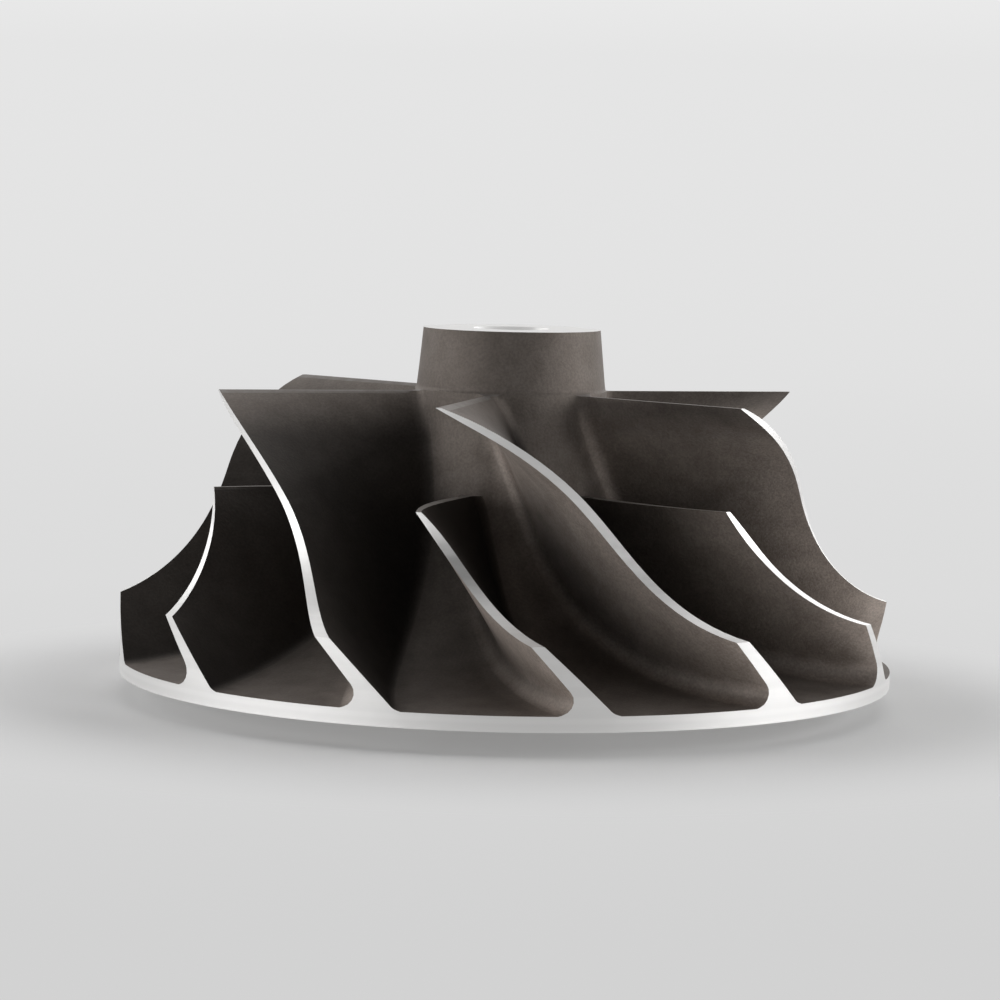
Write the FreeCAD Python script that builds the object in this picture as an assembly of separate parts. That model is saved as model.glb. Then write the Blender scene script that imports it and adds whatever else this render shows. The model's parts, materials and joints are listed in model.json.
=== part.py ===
import FreeCAD, Part
import math
import os

# Compressor wheel of a small turbocharger, in millimetres, +Z up.
# The wheel stands on the face of its back boss, whose centre is the origin, with the inlet side up.
# It is one aluminium casting: a hub and twelve blades, with the outside, the nose, the back and the
# bore turned afterwards. Six full blades alternate with six splitters, which start further down.

# Driving dimensions
EXDUCER_R = 34.0          # outer radius of the back disc and of the trailing edges
INDUCER_R = 26.3          # radius over the leading edges
BACK_GAP = 2.0            # the back boss stands this far below the underside of the rim
RIM_THICKNESS = 1.3
TIP_WIDTH = 5.55          # height of a trailing edge above the rim
LEADING_EDGE_Z = 27.1
SPLITTER_EDGE_Z = 18.55
NOSE_TOP_Z = 32.6
NOSE_TOP_R = 7.8
NOSE_FOOT_R = 8.3
HUB_INLET_R = 8.45        # cast radius of the hub at the leading edges
HUB_INLET_POLE_Z = 15.0   # height and corner of the two poles that bend the hub line outwards
HUB_CORNER_POLE = (14.0, 4.2)
BORE_R = 3.0
BORE_CHAMFER = 0.4
BOSS_R = 10.0
BOSS_FOOT_R = 10.6
BOSS_STEP = 0.9           # the boss stands this far out of the back, which is a shallow cone
SHROUD_ARC_R = 11.0       # radius of the turned shroud line between inducer and exducer
ROOT_FILLET_R = 1.2
NOSE_FILLET_R = 0.5
BLADE_PAIRS = 6           # full blades, each followed by one splitter

# Blade angles about the axis, in degrees, counted along a camber line towards its trailing edge
TIP_EXIT_ANGLE = -25.6    # where the shroud line of the first full blade ends
ROOT_EXIT_ANGLE = -16.5   # where its hub line ends, so that the trailing edge leans
TIP_SWEEP = 29.0          # even wrap of the shroud line
TIP_INLET_TURN = 18.3     # further wrap, nearly all of it in the inducer
TIP_TURN_POWER = 4.7
ROOT_SWEEP = 30.0
ROOT_TURN_POWER = 4.0
SPLITTER_TIP_TURN = 3.2   # a splitter's shroud line wraps this much more, and soonest at its inlet

# Blade thickness across the camber surface, at the inlet and at the trailing edge
FULL_TIP_THICKNESS = (0.76, 0.86)
SPLITTER_TIP_THICKNESS = (0.78, 0.74)
ROOT_THICKNESS = (1.15, 1.45)
EDGE_TAPER = 2.2          # a leading edge thins down over this height, as half of an ellipse
EDGE_SHARE = 0.3          # to this share of the blade's thickness

# How the oversize blades are drawn, with sections at these shares of the hub and shroud lines
FULL_SECTIONS = (-0.05, 0.0, 0.012, 0.035, 0.075, 0.15, 0.24, 0.33, 0.42, 0.51, 0.60, 0.69, 0.78,
                 0.87, 0.96, 1.05)
SPLITTER_SECTIONS = (0.16, 0.21, 0.26, 0.31, 0.36, 0.42, 0.51, 0.60, 0.69, 0.78, 0.87, 0.96, 1.05)
FILLET_STRIPS = (5, 3)    # flat strips in the root fillet on a blade's leaning and open side
BISECTIONS = 24
FLARE_END = 18.0          # degrees of slope left between a fillet's end and the hub
SKIRT = 1.5
OVERSHOOT = 1.15          # a blade is drawn this much taller than its span, then turned down
SEARCH_TOP = 0.9          # share of the span below which a fillet starts
NUDGE = 0.001
SEAM = 9.0                # degrees, where revolved faces close on themselves, clear of all blades

RIM_TOP_Z = BACK_GAP + RIM_THICKNESS
TIP_EXIT_Z = RIM_TOP_Z + TIP_WIDTH
ORIGIN = FreeCAD.Vector(0, 0, 0)
AXIS = FreeCAD.Vector(0, 0, 1)


def meridian_point(radius, height):
    """A point of a half section, drawn in the XZ plane."""
    return FreeCAD.Vector(radius, 0, height)


def around(radius, angle, height):
    """A point at an angle in degrees from -Y, turning towards +X."""
    turn = math.radians(angle)
    return FreeCAD.Vector(radius * math.sin(turn), -radius * math.cos(turn), height)


def line(*points):
    return [Part.makeLine(a, b) for a, b in zip(points, points[1:])]


def revolved(edges):
    """The solid that a closed half section sweeps about the axis."""
    section = Part.Face(Part.Wire(edges))
    return section.revolve(ORIGIN, AXIS, 360).rotated(ORIGIN, AXIS, SEAM)


# The hub line: down the hub, out along the floor of the passages and level with the rim.
HUB_LINE = Part.BezierCurve()
HUB_LINE.setPoles([
    meridian_point(HUB_INLET_R, LEADING_EDGE_Z),
    meridian_point(HUB_INLET_R, HUB_INLET_POLE_Z),
    meridian_point(*HUB_CORNER_POLE),
    meridian_point(EXDUCER_R, RIM_TOP_Z),
])
HUB_LENGTH = HUB_LINE.length()

# The shroud line: straight down over the inducer, then an arc out to the trailing edge.
ARC_CENTRE_R = INDUCER_R + SHROUD_ARC_R
ARC_TURN = math.acos((ARC_CENTRE_R - EXDUCER_R) / SHROUD_ARC_R)
ARC_START_Z = TIP_EXIT_Z + SHROUD_ARC_R * math.sin(ARC_TURN)
INDUCER_LENGTH = LEADING_EDGE_Z - ARC_START_Z
SHROUD_LENGTH = INDUCER_LENGTH + SHROUD_ARC_R * ARC_TURN


def hub_point(share):
    """Radius and height at a share of the hub line, which runs straight on past both ends."""
    inside = min(max(share, 0.0), 1.0)
    parameter = HUB_LINE.parameterAtDistance(inside * HUB_LENGTH, 0.0) if inside > 0 else 0.0
    point = HUB_LINE.value(parameter)
    point += HUB_LINE.tangent(parameter)[0] * ((share - inside) * HUB_LENGTH)
    return point.x, point.z


def shroud_point(share):
    """Radius and height at a share of the shroud line, which runs straight on past both ends."""
    length = share * SHROUD_LENGTH
    if length < INDUCER_LENGTH:
        return INDUCER_R, LEADING_EDGE_Z - length
    turn = min((length - INDUCER_LENGTH) / SHROUD_ARC_R, ARC_TURN)
    beyond = length - INDUCER_LENGTH - turn * SHROUD_ARC_R
    radius = ARC_CENTRE_R - SHROUD_ARC_R * math.cos(turn) + beyond * math.sin(turn)
    height = ARC_START_Z - SHROUD_ARC_R * math.sin(turn) - beyond * math.cos(turn)
    return radius, height


def inlet_turn(left, power):
    """How much of the inducer's turn is left, with the line kept straight past the leading edge."""
    if left > 1.0:
        return 1.0 + power * (left - 1.0)
    return max(left, 0.0) ** power


def tip_angle(share, further_turn):
    left = 1.0 - share
    even = TIP_EXIT_ANGLE - TIP_SWEEP * left - further_turn * max(left, 0.0) ** 2
    return even - TIP_INLET_TURN * inlet_turn(left, TIP_TURN_POWER)


def root_angle(share):
    # The leading edge is radial, so that both lines start at one angle.
    left = 1.0 - share
    turn = ROOT_EXIT_ANGLE - TIP_EXIT_ANGLE + TIP_SWEEP + TIP_INLET_TURN - ROOT_SWEEP
    return ROOT_EXIT_ANGLE - ROOT_SWEEP * left - turn * inlet_turn(left, ROOT_TURN_POWER)


def root_point(share):
    radius, height = hub_point(share)
    return around(radius, root_angle(share), height)


def tip_point(share, further_turn):
    radius, height = shroud_point(share)
    return around(radius, tip_angle(share, further_turn), height)


def half_thickness(pair, share, below_edge):
    """Half of a blade's thickness, thinned down where it is near its leading edge."""
    whole = pair[0] + (pair[1] - pair[0]) * min(max(share, 0.0), 1.0)
    left = min(max(1.0 - below_edge / EDGE_TAPER, 0.0), 1.0)
    return whole / 2 * max(math.sqrt(1.0 - left ** 2), EDGE_SHARE)


# The cast hub line with room to spare at both ends, for the ball that rolls along it
STOCK = 3.0
OUTER_SHARE = 1.0 + STOCK / HUB_LENGTH
CAST_HUB_LINE = Part.Wire([
    Part.makeLine(meridian_point(HUB_INLET_R, NOSE_TOP_Z + STOCK),
                  meridian_point(HUB_INLET_R, LEADING_EDGE_Z)),
    HUB_LINE.toShape(),
    Part.makeLine(meridian_point(EXDUCER_R, RIM_TOP_Z), meridian_point(*hub_point(OUTER_SHARE))),
])


def hub_contact(point):
    """The nearest point of the cast hub surface, and the height above it (negative inside)."""
    radius = math.hypot(point.x, point.y)
    flat = meridian_point(radius, point.z)
    distance, pairs, _ = CAST_HUB_LINE.distToShape(Part.Vertex(flat))
    nearest = pairs[0][0]
    outside = (flat.x - nearest.x) + (flat.z - nearest.z) > 0
    scale = nearest.x / radius
    return FreeCAD.Vector(point.x * scale, point.y * scale, nearest.z), distance if outside else -distance


def root_flare(root, up, across, half_root, half_tip, span, strips):
    """Corner points of one side of a blade section: tip, fillet and skirt.

    A ball of the fillet's radius rests against the side of the blade and on the hub. Its arc stops
    a little short of the hub's own slope, and a straight skirt carries on below the surface.
    """
    taper = (half_tip - half_root) / span
    outward = (across - up * taper).normalize()

    def on_side(height):
        return root + up * height + across * (half_root + taper * height)

    low, high = -ROOT_FILLET_R, SEARCH_TOP * span
    for _ in range(BISECTIONS):
        middle = (low + high) / 2
        if hub_contact(on_side(middle) + outward * ROOT_FILLET_R)[1] > ROOT_FILLET_R:
            high = middle
        else:
            low = middle
    centre = on_side(low) + outward * ROOT_FILLET_R
    to_side = -outward
    to_hub = hub_contact(centre)[0] - centre
    to_hub = (up * to_hub.dot(up) + across * to_hub.dot(across)).normalize()
    whole = to_side.getAngle(to_hub)
    end = whole - math.radians(FLARE_END)

    def on_arc(angle):
        spoke = (to_side * math.sin(whole - angle) + to_hub * math.sin(angle)) / math.sin(whole)
        return centre + spoke * ROOT_FILLET_R

    heading = (to_hub * math.cos(end) - to_side * math.cos(whole - end)).normalize()
    flare = [on_arc(end * i / strips) for i in range(strips + 1)]
    return [on_side(span * OVERSHOOT)] + flare + [flare[-1] + heading * SKIRT]


def blade_section(share, edge_z, tip_thickness, further_turn):
    """A closed section across a blade, from under the hub surface to outside the shroud line."""
    root, tip = root_point(share), tip_point(share, further_turn)
    up = (tip - root).normalize()
    span = (tip - root).Length
    along = root_point(share + NUDGE) - root_point(share - NUDGE)
    across = along.cross(up).normalize()
    half_root = half_thickness(ROOT_THICKNESS, share, edge_z - root.z)
    half_tip = half_thickness(tip_thickness, share, edge_z - tip.z)
    one = root_flare(root, up, across, half_root, half_tip, span, FILLET_STRIPS[0])
    other = root_flare(root, up, -across, half_root, half_tip, span, FILLET_STRIPS[1])
    return Part.makePolygon(one + other[::-1] + one[:1])


def blade(shares, *shape):
    """An oversize blade with its root fillets, lofted along the passage."""
    return Part.makeLoft([blade_section(share, *shape) for share in shares], True)


def hub_blank():
    """The cast hub, a little oversize at the nose, at the rim and underneath."""
    top, outer = CAST_HUB_LINE.Vertexes[0].Point, CAST_HUB_LINE.Vertexes[-1].Point
    outline = line(outer, meridian_point(outer.x, 0), ORIGIN, meridian_point(0, top.z), top)
    return revolved(CAST_HUB_LINE.Edges + outline)


def cut_back(splitter):
    """Trims a blade to the splitter's leading edge, which flows into the hub in a fillet."""
    foot_r = HUB_INLET_R + ROOT_FILLET_R
    end = math.radians(90 - FLARE_END)
    centre = meridian_point(foot_r, SPLITTER_EDGE_Z + ROOT_FILLET_R)

    def on_arc(turn):
        return centre - meridian_point(math.sin(turn), math.cos(turn)) * ROOT_FILLET_R

    arc = Part.Arc(on_arc(0), on_arc(end / 2), on_arc(end)).toShape()
    heading = meridian_point(-math.cos(end), math.sin(end))
    skirt = on_arc(end) + heading * SKIRT
    top, outside = NOSE_TOP_Z + 2 * STOCK, EXDUCER_R + 2 * STOCK
    outline = line(skirt, meridian_point(skirt.x, top), meridian_point(outside, top),
                   meridian_point(outside, SPLITTER_EDGE_Z), on_arc(0))
    return splitter.cut(revolved([arc] + outline + line(on_arc(end), skirt)))


def turned_envelope():
    """What the lathe leaves: back, rim, shroud line, leading edge plane and nose."""
    shroud_middle = meridian_point(ARC_CENTRE_R - SHROUD_ARC_R * math.cos(ARC_TURN / 2),
                                   ARC_START_Z - SHROUD_ARC_R * math.sin(ARC_TURN / 2))
    shroud_arc = Part.Arc(meridian_point(EXDUCER_R, TIP_EXIT_Z), shroud_middle,
                          meridian_point(INDUCER_R, ARC_START_Z)).toShape()
    back = line(ORIGIN, meridian_point(BOSS_R, 0), meridian_point(BOSS_FOOT_R, BOSS_STEP),
                meridian_point(EXDUCER_R, BACK_GAP), meridian_point(EXDUCER_R, TIP_EXIT_Z))
    front = line(meridian_point(INDUCER_R, ARC_START_Z), meridian_point(INDUCER_R, LEADING_EDGE_Z),
                 meridian_point(NOSE_FOOT_R + NOSE_FILLET_R, LEADING_EDGE_Z))
    drop = NOSE_FILLET_R * (1 - math.sqrt(0.5))
    fillet = Part.Arc(meridian_point(NOSE_FOOT_R + NOSE_FILLET_R, LEADING_EDGE_Z),
                      meridian_point(NOSE_FOOT_R + drop, LEADING_EDGE_Z + drop),
                      meridian_point(NOSE_FOOT_R, LEADING_EDGE_Z + NOSE_FILLET_R)).toShape()
    nose = line(meridian_point(NOSE_FOOT_R, LEADING_EDGE_Z + NOSE_FILLET_R),
                meridian_point(NOSE_TOP_R, NOSE_TOP_Z), meridian_point(0, NOSE_TOP_Z), ORIGIN)
    return revolved(back + [shroud_arc] + front + [fillet] + nose)


def bore():
    """The shaft's way through, chamfered at both mouths."""
    mouth_r = BORE_R + BORE_CHAMFER
    return revolved(line(
        meridian_point(0, -STOCK), meridian_point(mouth_r + STOCK, -STOCK),
        meridian_point(BORE_R, BORE_CHAMFER), meridian_point(BORE_R, NOSE_TOP_Z - BORE_CHAMFER),
        meridian_point(mouth_r + STOCK, NOSE_TOP_Z + STOCK), meridian_point(0, NOSE_TOP_Z + STOCK),
        meridian_point(0, -STOCK)))


def compressor_wheel():
    full = blade(FULL_SECTIONS, LEADING_EDGE_Z, FULL_TIP_THICKNESS, 0.0)
    splitter = cut_back(blade(SPLITTER_SECTIONS, SPLITTER_EDGE_Z, SPLITTER_TIP_THICKNESS,
                              SPLITTER_TIP_TURN))
    pitch = 360 / BLADE_PAIRS
    blades = []
    for i in range(BLADE_PAIRS):
        blades.append(full.rotated(ORIGIN, AXIS, pitch * i))
        blades.append(splitter.rotated(ORIGIN, AXIS, pitch * (i + 0.5)))
    casting = hub_blank().fuse(blades)
    wheel = casting.common(turned_envelope())
    return wheel.cut(bore()).Solids[0]


os.makedirs("parts", exist_ok=True)
compressor_wheel().exportStep("parts/compressor_wheel.step")
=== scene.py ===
"""A cast and turned compressor wheel with six full blades and six splitters, on a pale sweep."""

import json
import math

import bpy
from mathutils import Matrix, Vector

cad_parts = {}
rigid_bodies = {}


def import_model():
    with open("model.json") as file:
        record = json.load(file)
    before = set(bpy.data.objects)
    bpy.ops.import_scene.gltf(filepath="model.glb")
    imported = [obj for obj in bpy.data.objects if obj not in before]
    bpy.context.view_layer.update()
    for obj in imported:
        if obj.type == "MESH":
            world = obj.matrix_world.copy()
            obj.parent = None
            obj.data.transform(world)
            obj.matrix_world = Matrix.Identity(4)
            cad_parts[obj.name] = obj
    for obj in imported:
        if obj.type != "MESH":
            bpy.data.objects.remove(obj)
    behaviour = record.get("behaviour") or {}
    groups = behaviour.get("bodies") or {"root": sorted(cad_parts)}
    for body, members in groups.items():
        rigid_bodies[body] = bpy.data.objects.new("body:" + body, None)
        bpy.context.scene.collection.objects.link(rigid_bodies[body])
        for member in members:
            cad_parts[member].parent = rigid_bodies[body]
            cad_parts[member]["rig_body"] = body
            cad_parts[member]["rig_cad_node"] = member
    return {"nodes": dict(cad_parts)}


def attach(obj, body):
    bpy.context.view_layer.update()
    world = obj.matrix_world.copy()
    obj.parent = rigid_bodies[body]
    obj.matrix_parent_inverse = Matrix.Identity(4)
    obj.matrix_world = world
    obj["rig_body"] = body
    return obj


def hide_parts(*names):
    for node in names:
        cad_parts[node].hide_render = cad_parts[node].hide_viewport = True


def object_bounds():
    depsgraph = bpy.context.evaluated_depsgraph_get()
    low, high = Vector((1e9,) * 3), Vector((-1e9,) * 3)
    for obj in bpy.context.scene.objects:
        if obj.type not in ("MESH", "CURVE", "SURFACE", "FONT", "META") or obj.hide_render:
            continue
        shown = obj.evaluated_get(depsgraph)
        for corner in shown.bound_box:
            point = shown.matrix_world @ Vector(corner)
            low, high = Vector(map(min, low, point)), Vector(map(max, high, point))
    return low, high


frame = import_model()
cad_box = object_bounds()


# ---------------------------------------------------------------- camera
# A long lens stands a little above the wheel and looks along +Y, five degrees down. It is leaned a
# touch to one side, and the wheel fills three quarters of the frame's width.

LENS_MM = 127.786
SENSOR_WIDTH_MM = 36.0
NEAREST_SEEN = 0.01
FURTHEST_SEEN = 20.0
CAMERA_PLACE = (0.0, -0.31257, 0.04596)
CAMERA_TURN_DEGREES = (84.7766, -1.2809, 0.2516)

camera = bpy.data.cameras.new("camera")
camera.lens = LENS_MM
camera.sensor_width = SENSOR_WIDTH_MM
camera.clip_start = NEAREST_SEEN
camera.clip_end = FURTHEST_SEEN
camera_object = bpy.data.objects.new("camera", camera)
camera_object.location = CAMERA_PLACE
camera_object.rotation_euler = [math.radians(angle) for angle in CAMERA_TURN_DEGREES]
bpy.context.scene.collection.objects.link(camera_object)
bpy.context.scene.camera = camera_object


# ---------------------------------------------------------------- wheel, one casting
# The whole wheel is one investment casting in aluminium alloy, with hub, blades and disc in one.
# Its skin stays as it came out of the mould between the blades and round the nose. A lathe has cut
# the blade tips to the housing's contour, the rim, the top of the nose, the bore and the back.

MM = 0.001
INDUCER_RADIUS = 26.3 * MM
EXDUCER_RADIUS = 34.0 * MM
CONTOUR_ARC_RADIUS = 11.0 * MM
CONTOUR_ARC_Z = 19.34 * MM
BORE_MOUTH_RADIUS = 3.5 * MM
BACK_TOP_Z = 2.05 * MM
NOSE_TOP_Z = cad_box[1].z
WELD = 0.0012 * MM
CUT_TOLERANCE = 0.04 * MM
SMOOTH_ANGLE = math.radians(35)
SKIN_SLOT = 0
TURNED_SLOT = 1


def from_contour(point):
    """How far a point is from the line that the lathe cuts over the blade tips."""
    radius = math.hypot(point.x, point.y)
    if point.z > CONTOUR_ARC_Z:
        return abs(radius - INDUCER_RADIUS)
    arc_centre = INDUCER_RADIUS + CONTOUR_ARC_RADIUS
    return abs(math.hypot(radius - arc_centre, point.z - CONTOUR_ARC_Z) - CONTOUR_ARC_RADIUS)


def is_turned(corners):
    """Whether a face was cut on the lathe. All of its corners then lie on a turned surface."""
    radii = [math.hypot(p.x, p.y) for p in corners]
    on_tips = all(from_contour(p) < CUT_TOLERANCE for p in corners)
    on_rim = min(radii) > EXDUCER_RADIUS - CUT_TOLERANCE
    on_nose_top = min(p.z for p in corners) > NOSE_TOP_Z - CUT_TOLERANCE
    in_bore = max(radii) < BORE_MOUTH_RADIUS
    on_back = max(p.z for p in corners) < BACK_TOP_Z
    return on_tips or on_rim or on_nose_top or in_bore or on_back


bpy.ops.object.select_all(action="DESELECT")
cad_wheel = frame["nodes"]["compressor_wheel"]
cad_wheel.select_set(True)
bpy.context.view_layer.objects.active = cad_wheel
bpy.ops.object.duplicate()
wheel = bpy.context.object
wheel.name = "turned_casting"
wheel.data.name = "turned_casting"
# The copy is a piece of its own, so it loses the marks of a CAD node.
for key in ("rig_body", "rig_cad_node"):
    if key in wheel:
        del wheel[key]

bpy.ops.mesh.customdata_custom_splitnormals_clear()
bpy.ops.object.mode_set(mode="EDIT")
bpy.ops.mesh.select_all(action="SELECT")
bpy.ops.mesh.remove_doubles(threshold=WELD)
bpy.ops.mesh.normals_make_consistent(inside=False)
bpy.ops.object.mode_set(mode="OBJECT")
bpy.ops.object.shade_smooth_by_angle(angle=SMOOTH_ANGLE)

# How the finishes are put together from shader nodes.

FLOAT = "NodeSocketFloat"
VECTOR = "NodeSocketVector"


def node(tree, kind, place, inputs=None, **settings):
    """A shader node. Each input, by name or number, takes a node's output or a plain value."""
    made = tree.nodes.new(kind)
    made.location = place
    for name, value in settings.items():
        setattr(made, name, value)
    for name, source in (inputs or {}).items():
        if isinstance(source, bpy.types.NodeSocket):
            tree.links.new(source, made.inputs[name])
        else:
            made.inputs[name].default_value = source
    return made


def calculate(tree, operation, place, *sources):
    """What a Math node makes of outputs and plain numbers, given in its inputs' order."""
    inputs = dict(enumerate(sources))
    return node(tree, "ShaderNodeMath", place, inputs, operation=operation).outputs[0]


def combine(tree, operation, place, *sources):
    """A Vector Math node of outputs and plain vectors, given in its inputs' order."""
    return node(tree, "ShaderNodeVectorMath", place, dict(enumerate(sources)), operation=operation)


def stretch(tree, place, value, span, result=(0.0, 1.0), curve="LINEAR"):
    """A value with one span stretched to another. Outside the span it stays level."""
    inputs = {
        "Value": value,
        "From Min": span[0],
        "From Max": span[1],
        "To Min": result[0],
        "To Max": result[1],
    }
    return node(tree, "ShaderNodeMapRange", place, inputs, interpolation_type=curve).outputs[0]


def ease(tree, place, value, span, result=(0.0, 1.0)):
    """A stretch that starts and ends gently."""
    return stretch(tree, place, value, span, result, "SMOOTHSTEP")


def begin_group(name, inputs, outputs):
    """A node group with named sockets, and the node that brings its inputs in."""
    group = bpy.data.node_groups.new(name, "ShaderNodeTree")
    for label, kind in inputs.items():
        group.interface.new_socket(label, in_out="INPUT", socket_type=kind)
    for label in outputs:
        group.interface.new_socket(label, in_out="OUTPUT", socket_type=FLOAT)
    return group, node(group, "NodeGroupInput", (-1400, 0))


def about_axis(tree, coordinates):
    """The height of a place, the place in plan, and its radius from the wheel's axis."""
    apart = node(tree, "ShaderNodeSeparateXYZ", (-1200, 0), {0: coordinates})
    in_plan = {"X": apart.outputs["X"], "Y": apart.outputs["Y"]}
    plan = node(tree, "ShaderNodeCombineXYZ", (-1000, 100), in_plan).outputs[0]
    radius = combine(tree, "LENGTH", (-800, 100), plan)
    return apart.outputs["Z"], plan, radius.outputs["Value"]


def empty_material(name):
    """A material with nothing in its node tree."""
    material = bpy.data.materials.new(name)
    material.use_nodes = True
    material.node_tree.nodes.clear()
    return material


# The mould leaves a fine sandy grain on the skin, and the skin's tone wanders slowly.

GRAIN_LAYERS = 3.0
GRAIN_LAYER_STRENGTH = 0.6
MOTTLE_PER_METRE = 420.0
MOTTLE_LAYERS = 4.0
MOTTLE_LAYER_STRENGTH = 0.55


def casting_grain():
    """Fine sandy grain and slow mottling of a casting's skin, from Object coordinates."""
    sockets = {"Coordinates": VECTOR, "Grain size": FLOAT}
    group, given = begin_group("casting_grain", sockets, ("Grain", "Mottle"))
    grain = node(group, "ShaderNodeTexNoise", (-300, 0), {
        "Vector": given.outputs["Coordinates"],
        "Scale": calculate(group, "DIVIDE", (-600, -200), 1.0, given.outputs["Grain size"]),
        "Detail": GRAIN_LAYERS,
        "Roughness": GRAIN_LAYER_STRENGTH,
    })
    mottle = node(group, "ShaderNodeTexNoise", (-300, -300), {
        "Vector": given.outputs["Coordinates"],
        "Scale": MOTTLE_PER_METRE,
        "Detail": MOTTLE_LAYERS,
        "Roughness": MOTTLE_LAYER_STRENGTH,
    })
    node(group, "NodeGroupOutput", (400, 0), {
        "Grain": grain.outputs["Fac"],
        "Mottle": mottle.outputs["Fac"],
    })
    return group


# A finishing tool leaves a groove at each turn, and wider bands where its cut changed a little.

GROOVES_PER_TURN = 1.0
GROOVE_LAYERS = 2.0
BANDS_PER_TURN = 0.07
BAND_LAYERS = 3.0


def turning_marks():
    """A lathe's concentric tool marks: noise over radius less height, alike all round the axis."""
    sockets = {"Coordinates": VECTOR, "Feed": FLOAT}
    group, given = begin_group("turning_marks", sockets, ("Groove", "Band"))
    height, _, radius = about_axis(group, given.outputs["Coordinates"])
    along = calculate(group, "SUBTRACT", (-400, 100), radius, height)
    turns = calculate(group, "DIVIDE", (-200, 100), along, given.outputs["Feed"])
    groove_inputs = {"W": turns, "Scale": GROOVES_PER_TURN, "Detail": GROOVE_LAYERS}
    groove = node(group, "ShaderNodeTexNoise", (0, 150), groove_inputs, noise_dimensions="1D")
    band_inputs = {"W": turns, "Scale": BANDS_PER_TURN, "Detail": BAND_LAYERS}
    band = node(group, "ShaderNodeTexNoise", (0, -150), band_inputs, noise_dimensions="1D")
    node(group, "NodeGroupOutput", (500, 0), {
        "Groove": groove.outputs["Fac"],
        "Band": band.outputs["Fac"],
    })
    return group


# The skin's colour is painted lighter and darker, as painted light and shade. The sides of the
# blades that look against the turn, their undersides and what lies near the tips are painted
# paler. The sides that look with the turn and the depths of the passages get painted shade.
# The top of the wheel and its nose are left clear of painted shade all round.

WHEEL_AXIS = (0.0, 0.0, 1.0)
PAINTED_SHADE_DEPTH = 11.0 * MM
DEPTH_SHADE = 0.50
PAINTED_TIP_LIGHT = 1.12
NOSE_UNSHADED_Z = (13.0 * MM, 22.0 * MM)
UNDERSIDE_FACING = (0.15, -0.50)
PAINTED_UNDERSIDE_LIGHT = 1.5
SIDE_FACING = (0.65, -0.65)
PAINTED_SIDE_SHADE = 0.30
PAINTED_SIDE_LIGHT = 2.2
SIDES_ALIKE_Z = (23.0 * MM, 27.0 * MM)


def painted_light_and_shade():
    """Painted light and shade on a casting's skin, by nearness to the tips and the way it faces.
    """
    sockets = {"Coordinates": VECTOR, "Facing": VECTOR}
    group, given = begin_group("painted_light_and_shade", sockets, ("Gain",))
    height, plan, radius = about_axis(group, given.outputs["Coordinates"])
    facing = given.outputs["Facing"]

    # The contour bends outwards below the inducer, so the depth under it is measured from its arc.
    arc_centre = INDUCER_RADIUS + CONTOUR_ARC_RADIUS
    inwards = calculate(group, "SUBTRACT", (-600, 100), arc_centre, radius)
    below = calculate(group, "SUBTRACT", (-800, -100), CONTOUR_ARC_Z, height)
    below_only = calculate(group, "MAXIMUM", (-600, -100), below, 0.0)
    offset = node(group, "ShaderNodeCombineXYZ", (-400, 0), {"X": inwards, "Y": below_only})
    from_arc = combine(group, "LENGTH", (-200, 0), offset.outputs[0])
    # Painted shade deepens with depth under the contour; the nose is left unshaded.
    depth = (CONTOUR_ARC_RADIUS + PAINTED_SHADE_DEPTH, CONTOUR_ARC_RADIUS)
    near_tips = ease(group, (0, 0), from_arc.outputs["Value"], depth, (DEPTH_SHADE, PAINTED_TIP_LIGHT))
    up_nose = ease(group, (0, 300), height, NOSE_UNSHADED_Z)
    depth_light_and_shade = calculate(group, "MAXIMUM", (250, 150), near_tips, up_nose)

    # Undersides are painted paler, as painted light.
    faces_up = node(group, "ShaderNodeSeparateXYZ", (-200, -300), {0: facing}).outputs["Z"]
    underside = ease(group, (0, -300), faces_up, UNDERSIDE_FACING, (1.0, PAINTED_UNDERSIDE_LIGHT))

    # Faces that look round the axis with the turn get painted shade, against it painted light.
    across = combine(group, "CROSS_PRODUCT", (-800, -500), WHEEL_AXIS, plan)
    with_turn = combine(group, "NORMALIZE", (-600, -500), across.outputs[0])
    looks_round = combine(group, "DOT_PRODUCT", (-400, -500), with_turn.outputs[0], facing)
    either_side = (PAINTED_SIDE_SHADE, PAINTED_SIDE_LIGHT)
    side = ease(group, (-200, -500), looks_round.outputs["Value"], SIDE_FACING, either_side)
    side_or_top = {
        "Factor": ease(group, (-200, -750), height, SIDES_ALIKE_Z),
        "A": side,
        "B": 1.0,
    }
    side_of_blade = node(group, "ShaderNodeMix", (50, -600), side_or_top, data_type="FLOAT")

    gain = calculate(group, "MULTIPLY", (450, 0), depth_light_and_shade, underside)
    whole_gain = calculate(group, "MULTIPLY", (600, -200), gain, side_of_blade.outputs["Result"])
    node(group, "NodeGroupOutput", (800, 0), {"Gain": whole_gain})
    return group


# The leading edges of the blades get a painted highlight, uneven, where their tops face upwards.

LEADING_EDGE_Z = 27.1 * MM
SPLITTER_EDGE_Z = 18.55 * MM
EDGE_DEPTH = 0.22 * MM
EDGE_FACING = (0.60, 0.92)
GLINTS_PER_METRE = 700.0
GLINT_LAYERS = 3.0
GLINT_SPAN = (0.3, 0.6)
FAINTEST_GLINT = 0.4


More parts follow.
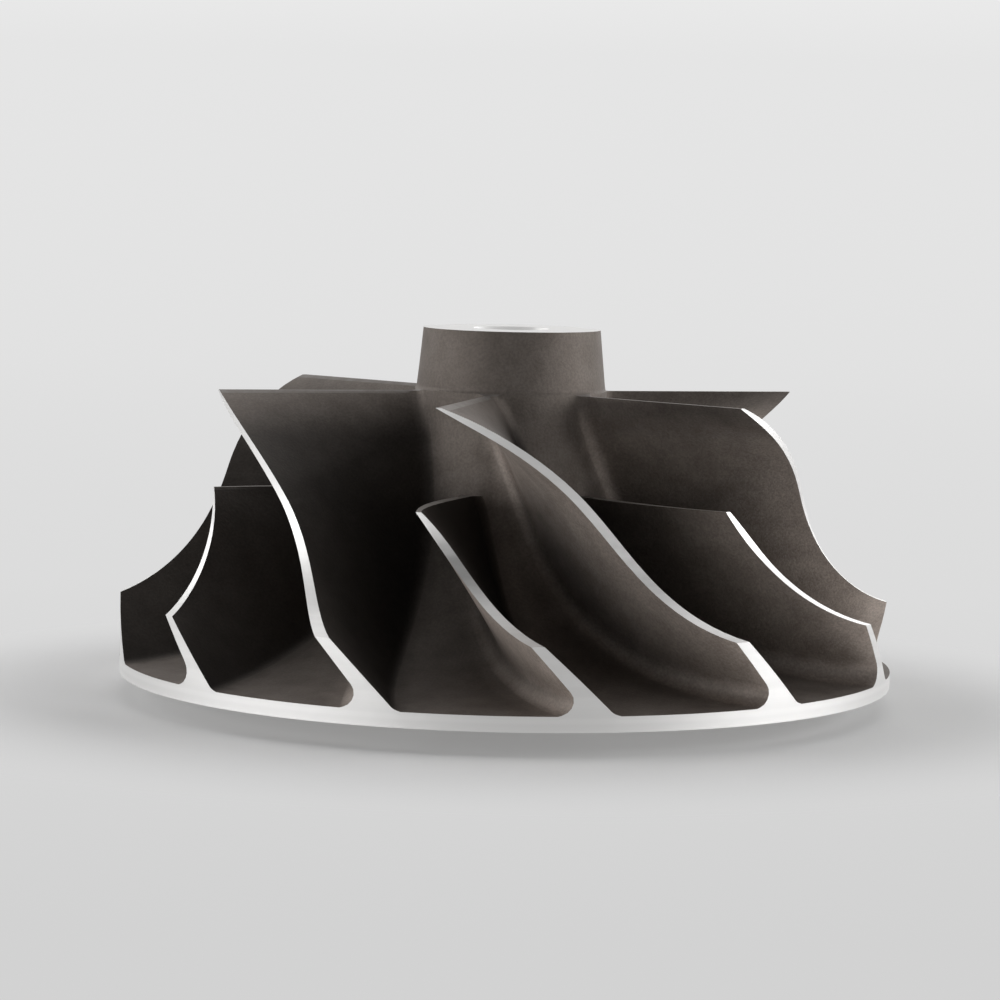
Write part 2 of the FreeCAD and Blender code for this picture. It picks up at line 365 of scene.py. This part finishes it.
def leading_edge_highlight():
    """A painted highlight on the leading edges: at their level, where the skin faces upwards."""
    sockets = {"Coordinates": VECTOR, "Facing": VECTOR}
    group, given = begin_group("leading_edge_highlight", sockets, ("Highlight",))
    place = given.outputs["Coordinates"]
    height = node(group, "ShaderNodeSeparateXYZ", (-800, 100), {0: place}).outputs["Z"]
    at_full = calculate(group, "COMPARE", (-500, 200), height, LEADING_EDGE_Z, EDGE_DEPTH)
    at_splitter = calculate(group, "COMPARE", (-500, 100), height, SPLITTER_EDGE_Z, EDGE_DEPTH)
    at_level = calculate(group, "MAXIMUM", (-300, 150), at_full, at_splitter)
    facing = node(group, "ShaderNodeSeparateXYZ", (-500, -200), {0: given.outputs["Facing"]})
    upwards = ease(group, (-300, -200), facing.outputs["Z"], EDGE_FACING)
    rub_inputs = {"Vector": place, "Scale": GLINTS_PER_METRE, "Detail": GLINT_LAYERS}
    edge_glint = node(group, "ShaderNodeTexNoise", (-300, -450), rub_inputs)
    uneven = stretch(group, (-100, -450), edge_glint.outputs["Fac"], GLINT_SPAN, (FAINTEST_GLINT, 1.0))
    on_edge = calculate(group, "MULTIPLY", (100, 0), at_level, upwards)
    node(group, "NodeGroupOutput", (600, 0), {
        "Highlight": calculate(group, "MULTIPLY", (300, 0), on_edge, uneven),
    })
    return group


# The casting's skin: a dull brown-grey.

CAST_DARK = (0.120, 0.103, 0.091, 1.0)
CAST_PALE = (0.156, 0.136, 0.122, 1.0)
MOTTLE_SPAN = (0.3, 0.7)
GRAIN_SPAN = (0.35, 0.65)
GRAIN_SHADES = (0.86, 1.14)
EDGE_HIGHLIGHT = (0.21, 0.195, 0.183, 1.0)
GRAIN_SIZE = 0.22 * MM
GRAIN_HEIGHT = 0.05 * MM
SKIN_METALLIC = 0.9
SKIN_ROUGHNESS = (0.60, 0.72)
BUMP_STRENGTH = 0.5

cast_skin = empty_material("as_cast_skin")
tree = cast_skin.node_tree
place = node(tree, "ShaderNodeTexCoord", (-900, 0))
where_and_how = {"Coordinates": place.outputs["Object"], "Facing": place.outputs["Normal"]}
grained = {"Coordinates": place.outputs["Object"], "Grain size": GRAIN_SIZE}
grain = node(tree, "ShaderNodeGroup", (-600, 0), grained, node_tree=casting_grain())
# Painted light and shade on the skin, and a painted highlight on the leading edges.
light_and_shade = node(tree, "ShaderNodeGroup", (-600, 300), where_and_how, node_tree=painted_light_and_shade())
edges = node(tree, "ShaderNodeGroup", (-600, 550), where_and_how, node_tree=leading_edge_highlight())
shade = node(tree, "ShaderNodeMixRGB", (-50, 200), {
    "Fac": stretch(tree, (-300, 200), grain.outputs["Mottle"], MOTTLE_SPAN),
    "Color1": CAST_DARK,
    "Color2": CAST_PALE,
})
speckle = stretch(tree, (-300, 450), grain.outputs["Grain"], GRAIN_SPAN, GRAIN_SHADES)
# The skin's tone is scaled by the painted light and shade.
brightness = calculate(tree, "MULTIPLY", (-50, 450), speckle, light_and_shade.outputs["Gain"])
scaled = {0: shade.outputs[0], "Scale": brightness}
lit_and_shaded = node(tree, "ShaderNodeVectorMath", (200, 200), scaled, operation="SCALE")
# The painted highlight on the leading edges is mixed into the skin's colour.
edge_glint = node(tree, "ShaderNodeMixRGB", (400, 200), {
    "Fac": edges.outputs["Highlight"],
    "Color1": lit_and_shaded.outputs[0],
    "Color2": EDGE_HIGHLIGHT,
})
bump = node(tree, "ShaderNodeBump", (200, -300), {
    "Height": grain.outputs["Grain"],
    "Strength": BUMP_STRENGTH,
    "Distance": GRAIN_HEIGHT,
})
skin = node(tree, "ShaderNodeBsdfPrincipled", (600, 0), {
    "Base Color": edge_glint.outputs[0],
    "Metallic": SKIN_METALLIC,
    "Roughness": stretch(tree, (-300, -100), grain.outputs["Grain"], (0.0, 1.0), SKIN_ROUGHNESS),
    "Normal": bump.outputs[0],
})
node(tree, "ShaderNodeOutputMaterial", (900, 0), {"Surface": skin.outputs[0]})

# The turned faces: bright aluminium with the fine rings of a finishing cut.

TURNED_DULL = (0.64, 0.634, 0.626, 1.0)
TURNED_BRIGHT = (0.73, 0.724, 0.716, 1.0)
TURNED_ROUGHNESS = (0.42, 0.50)
FINISHING_FEED = 0.06 * MM
GROOVE_HEIGHT = 0.010 * MM

turned = empty_material("turned_aluminium")
tree = turned.node_tree
place = node(tree, "ShaderNodeTexCoord", (-900, 0))
fed = {"Coordinates": place.outputs["Object"], "Feed": FINISHING_FEED}
rings = node(tree, "ShaderNodeGroup", (-600, 0), fed, node_tree=turning_marks())
shade = node(tree, "ShaderNodeMixRGB", (0, 200), {
    "Fac": rings.outputs["Band"],
    "Color1": TURNED_DULL,
    "Color2": TURNED_BRIGHT,
})
bump = node(tree, "ShaderNodeBump", (200, -300), {
    "Height": rings.outputs["Groove"],
    "Strength": BUMP_STRENGTH,
    "Distance": GROOVE_HEIGHT,
})
metal = node(tree, "ShaderNodeBsdfPrincipled", (600, 0), {
    "Base Color": shade.outputs[0],
    "Metallic": 1.0,
    "Roughness": stretch(tree, (-300, -100), rings.outputs["Band"], (0.0, 1.0), TURNED_ROUGHNESS),
    "Normal": bump.outputs[0],
})
node(tree, "ShaderNodeOutputMaterial", (900, 0), {"Surface": metal.outputs[0]})

wheel.data.materials.clear()
wheel.data.materials.append(cast_skin)
wheel.data.materials.append(turned)
for face in wheel.data.polygons:
    corners = [wheel.data.vertices[i].co for i in face.vertices]
    face.material_index = TURNED_SLOT if is_turned(corners) else SKIN_SLOT

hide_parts("compressor_wheel")
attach(wheel, "root")


# ---------------------------------------------------------------- floor and backdrop
# One sheet of pale paper lies flat under the wheel and sweeps up behind it in a wide curve, so no
# corner or edge of it shows. The wheel's back boss rests just above it.

SHEET_WIDTH = 4.0
SHEET_FRONT = -3.0
SWEEP_START = 0.5
SWEEP_RADIUS = 0.5
SWEEP_STEPS = 24
SHEET_TOP = 2.2
SHEET_WELD = 0.1 * MM
BACK_EDGE_BAND = 1.0 * MM
PAPER_GAP = 0.02 * MM


def select_back_edges(mesh_object):
    """Selects only the edges that lie furthest back, and highest where the back is upright."""
    bpy.ops.mesh.select_all(action="DESELECT")
    bpy.ops.object.mode_set(mode="OBJECT")
    mesh = mesh_object.data
    furthest = max(v.co.y + v.co.z for v in mesh.vertices)
    for edge in mesh.edges:
        ends = [mesh.vertices[i].co for i in edge.vertices]
        edge.select = all(p.y + p.z > furthest - BACK_EDGE_BAND for p in ends)
    bpy.ops.object.mode_set(mode="EDIT")
    bpy.ops.mesh.select_mode(type="EDGE")


bpy.ops.object.select_all(action="DESELECT")
sheet_middle = (SHEET_FRONT + SWEEP_START) / 2
bpy.ops.mesh.primitive_plane_add(size=1.0, location=(0, sheet_middle, -PAPER_GAP))
sheet = bpy.context.object
sheet.name = "paper_sweep"
sheet.scale = (SHEET_WIDTH, SWEEP_START - SHEET_FRONT, 1.0)
bpy.ops.object.transform_apply(location=True, rotation=True, scale=True)
bpy.ops.object.mode_set(mode="EDIT")
select_back_edges(sheet)
sweep_centre = (0, SWEEP_START, SWEEP_RADIUS - PAPER_GAP)
bpy.ops.mesh.spin(steps=SWEEP_STEPS, angle=math.pi / 2, center=sweep_centre, axis=(-1, 0, 0))
select_back_edges(sheet)
rise = SHEET_TOP - SWEEP_RADIUS
bpy.ops.mesh.extrude_region_move(TRANSFORM_OT_translate={"value": (0, 0, rise)})
bpy.ops.mesh.select_all(action="SELECT")
bpy.ops.mesh.remove_doubles(threshold=SHEET_WELD)
bpy.ops.mesh.normals_make_consistent(inside=True)
bpy.ops.object.mode_set(mode="OBJECT")
bpy.ops.object.shade_smooth()

# The paper is a plain pale grey. Round the wheel it is lit by the lamps and holds the shadow.
# Further out, what is seen, or mirrored in the metal, is an even colour of its own, paler up the
# sweep. From underneath it is clear, so that the back of the wheel shows.

PAPER_NEAR = (0.780, 0.780, 0.780, 1.0)
PAPER_ROUGHNESS = 0.9
PAPER_SPECULAR = 0.1
LIT_AND_EVEN_RADIUS = (35 * MM, 60 * MM)
PAPER_FRONT = (0.645, 0.645, 0.645, 1.0)
PAPER_MIDDLE = (0.715, 0.715, 0.715, 1.0)
PAPER_BACK = (0.785, 0.785, 0.785, 1.0)
PAPER_TOP = (0.960, 0.960, 0.960, 1.0)
TONES_FROM_TO = (-0.1, 1.1)
MIDDLE_AT = 0.15
BACK_AT = 0.80

paper = empty_material("pale_paper")
tree = paper.node_tree
place = node(tree, "ShaderNodeTexCoord", (-1100, 0))
matt = node(tree, "ShaderNodeBsdfPrincipled", (300, 200), {
    "Base Color": PAPER_NEAR,
    "Roughness": PAPER_ROUGHNESS,
    "Specular IOR Level": PAPER_SPECULAR,
})

apart = node(tree, "ShaderNodeSeparateXYZ", (-900, -200), {0: place.outputs["Object"]})
run = calculate(tree, "ADD", (-700, -200), apart.outputs["Y"], apart.outputs["Z"])
along_sheet = stretch(tree, (-500, -200), run, TONES_FROM_TO)
fade = node(tree, "ShaderNodeValToRGB", (-250, -200), {0: along_sheet})
fade.color_ramp.elements[0].color = PAPER_FRONT
fade.color_ramp.elements[1].color = PAPER_TOP
fade.color_ramp.elements.new(MIDDLE_AT).color = PAPER_MIDDLE
fade.color_ramp.elements.new(BACK_AT).color = PAPER_BACK
even = node(tree, "ShaderNodeEmission", (300, -200), {"Color": fade.outputs[0]})

from_wheel = combine(tree, "LENGTH", (-700, 100), place.outputs["Object"])
far_off = ease(tree, (-500, 100), from_wheel.outputs["Value"], LIT_AND_EVEN_RADIUS)
rays = node(tree, "ShaderNodeLightPath", (-900, 500))
seen_far_off = calculate(tree, "MULTIPLY", (-500, 400), rays.outputs["Is Camera Ray"], far_off)
or_mirrored = calculate(tree, "MAXIMUM", (-300, 400), seen_far_off, rays.outputs["Is Glossy Ray"])
share = calculate(tree, "MAXIMUM", (-100, 400), or_mirrored, rays.outputs["Is Transmission Ray"])
mix = node(tree, "ShaderNodeMixShader", (550, 0), {
    0: share,
    1: matt.outputs[0],
    2: even.outputs[0],
})

side = node(tree, "ShaderNodeNewGeometry", (300, 600))
clear = node(tree, "ShaderNodeBsdfTransparent", (550, -200))
one_sided = node(tree, "ShaderNodeMixShader", (720, 0), {
    0: side.outputs["Backfacing"],
    1: mix.outputs[0],
    2: clear.outputs[0],
})
node(tree, "ShaderNodeOutputMaterial", (900, 0), {"Surface": one_sided.outputs[0]})
sheet.data.materials.append(paper)


# ---------------------------------------------------------------- light
# Two softboxes stand low at the left of the wheel and two at its right, and a weak one hangs over
# it. They are large and near, so the bright metal mirrors them as soft broad highlights.

LAMP_DISTANCE = 0.9
LAMP_AIM = Vector((0, 0, 15 * MM))

# Name, degrees round from the camera's side, degrees up from the floor, width, height and watts.
SOFTBOXES = (
    ("left_back_softbox", -112, 27, 0.80, 0.55, 3.1),
    ("left_front_softbox", -66, 11, 1.15, 0.34, 3.8),
    ("right_softbox", 86, 15, 0.90, 0.48, 6.0),
    ("right_back_softbox", 148, 18, 0.60, 0.45, 1.5),
    ("top_softbox", 160, 80, 1.10, 1.10, 3.0),
)

for name, degrees_round, degrees_up, width, height, power in SOFTBOXES:
    turn = math.radians(degrees_round)
    tilt = math.radians(degrees_up)
    towards = Vector((
        math.sin(turn) * math.cos(tilt),
        -math.cos(turn) * math.cos(tilt),
        math.sin(tilt),
    ))
    lamp = bpy.data.lights.new(name, "AREA")
    lamp.shape = "RECTANGLE"
    lamp.size = width
    lamp.size_y = height
    lamp.energy = power
    lamp_object = bpy.data.objects.new(name, lamp)
    lamp_object.location = LAMP_AIM + LAMP_DISTANCE * towards
    lamp_object.rotation_mode = "QUATERNION"
    lamp_object.rotation_quaternion = (-towards).to_track_quat("-Z", "Y")
    bpy.context.scene.collection.objects.link(lamp_object)

# The room is pale low down, where it is seen or mirrored, and dark overhead. It gives the wheel
# almost no light of its own, so the passages between the blades stay deep.

ROOM_LOW = (0.72, 0.72, 0.72, 1.0)
ROOM_HIGH = (0.02, 0.02, 0.02, 1.0)
DARK_TO_PALE = (0.35, 0.14)

world = bpy.data.worlds.new("studio")
bpy.context.scene.world = world
world.use_nodes = True
tree = world.node_tree
place = node(tree, "ShaderNodeTexCoord", (-1100, 0))
apart = node(tree, "ShaderNodeSeparateXYZ", (-900, 0), {0: place.outputs["Generated"]})
low_down = ease(tree, (-700, 0), apart.outputs["Z"], DARK_TO_PALE)
rays = node(tree, "ShaderNodeLightPath", (-900, 400))
mirrored = rays.outputs["Is Glossy Ray"]
seen = calculate(tree, "MAXIMUM", (-700, 400), rays.outputs["Is Camera Ray"], mirrored)
or_through = calculate(tree, "MAXIMUM", (-500, 400), seen, rays.outputs["Is Transmission Ray"])
shade = node(tree, "ShaderNodeMixRGB", (-250, 0), {
    "Fac": calculate(tree, "MULTIPLY", (-500, 100), or_through, low_down),
    "Color1": ROOM_HIGH,
    "Color2": ROOM_LOW,
})
tree.links.new(shade.outputs[0], tree.nodes["Background"].inputs["Color"])

bpy.context.scene.view_settings.view_transform = "Standard"
